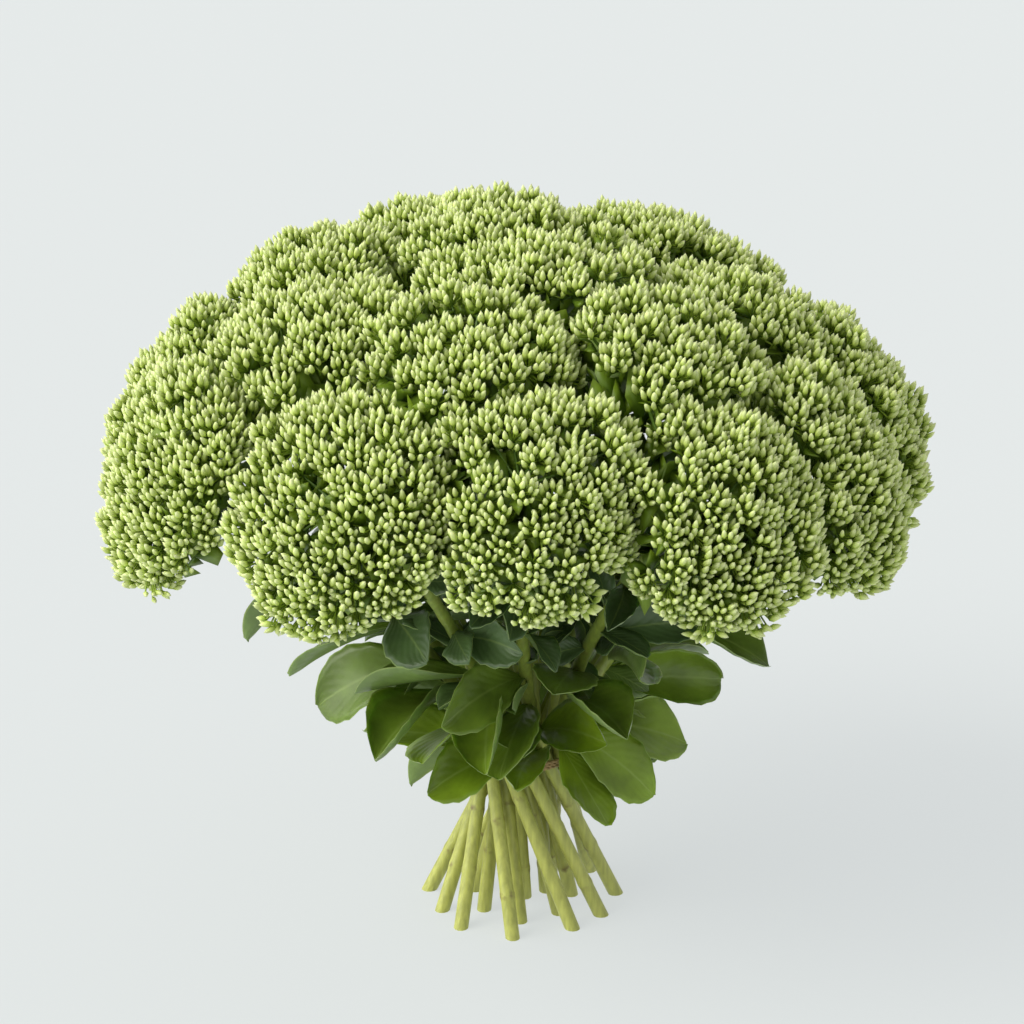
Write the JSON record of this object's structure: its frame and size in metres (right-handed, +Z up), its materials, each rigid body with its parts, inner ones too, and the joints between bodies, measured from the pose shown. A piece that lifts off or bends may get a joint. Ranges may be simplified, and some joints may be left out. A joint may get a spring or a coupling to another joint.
{
  "type": "showy stonecrop bunch",
  "caption": "Spiral-tied bunch of cut showy stonecrop in green bud: a broad domed head of small buds over thick toothed leaves, standing on its splayed cut stems.",
  "frame": {"origin": "middle of the centre stem's cut end, on the surface that the bunch stands on", "axes": "+Z up, along the bunch from its cut ends to its flower heads; +X to the right and -Y towards the viewer in the picture"},
  "size_m": [0.4459, 0.4284, 0.3946],
  "materials": {
    "leafy_stem": "thick waxy leaf and fleshy stem, blue-green above and yellow-green at the cut end",
    "bud_head": "matt pale green buds with lighter tips, on short green stalks",
    "twine": "dry, slightly hairy plant-fibre twine"
  },
  "bodies": {
    "root": {"leafy_stem_01": "leafy_stem", "leafy_stem_02": "leafy_stem", "leafy_stem_03": "leafy_stem", "leafy_stem_04": "leafy_stem", "leafy_stem_05": "leafy_stem", "leafy_stem_06": "leafy_stem", "leafy_stem_07": "leafy_stem", "leafy_stem_08": "leafy_stem", "leafy_stem_09": "leafy_stem", "leafy_stem_10": "leafy_stem", "leafy_stem_11": "leafy_stem", "leafy_stem_12": "leafy_stem", "leafy_stem_13": "leafy_stem", "leafy_stem_14": "leafy_stem", "leafy_stem_15": "leafy_stem", "leafy_stem_16": "leafy_stem", "leafy_stem_17": "leafy_stem", "leafy_stem_18": "leafy_stem", "leafy_stem_19": "leafy_stem", "leafy_stem_20": "leafy_stem", "flower_head_01": "bud_head", "flower_head_02": "bud_head", "flower_head_03": "bud_head", "flower_head_04": "bud_head", "flower_head_05": "bud_head", "flower_head_06": "bud_head", "flower_head_07": "bud_head", "flower_head_08": "bud_head", "flower_head_09": "bud_head", "flower_head_10": "bud_head", "flower_head_11": "bud_head", "flower_head_12": "bud_head", "flower_head_13": "bud_head", "flower_head_14": "bud_head", "flower_head_15": "bud_head", "flower_head_16": "bud_head", "flower_head_17": "bud_head", "flower_head_18": "bud_head", "flower_head_19": "bud_head", "flower_head_20": "bud_head", "twine_tie": "twine"}
  },
  "joints": []
}
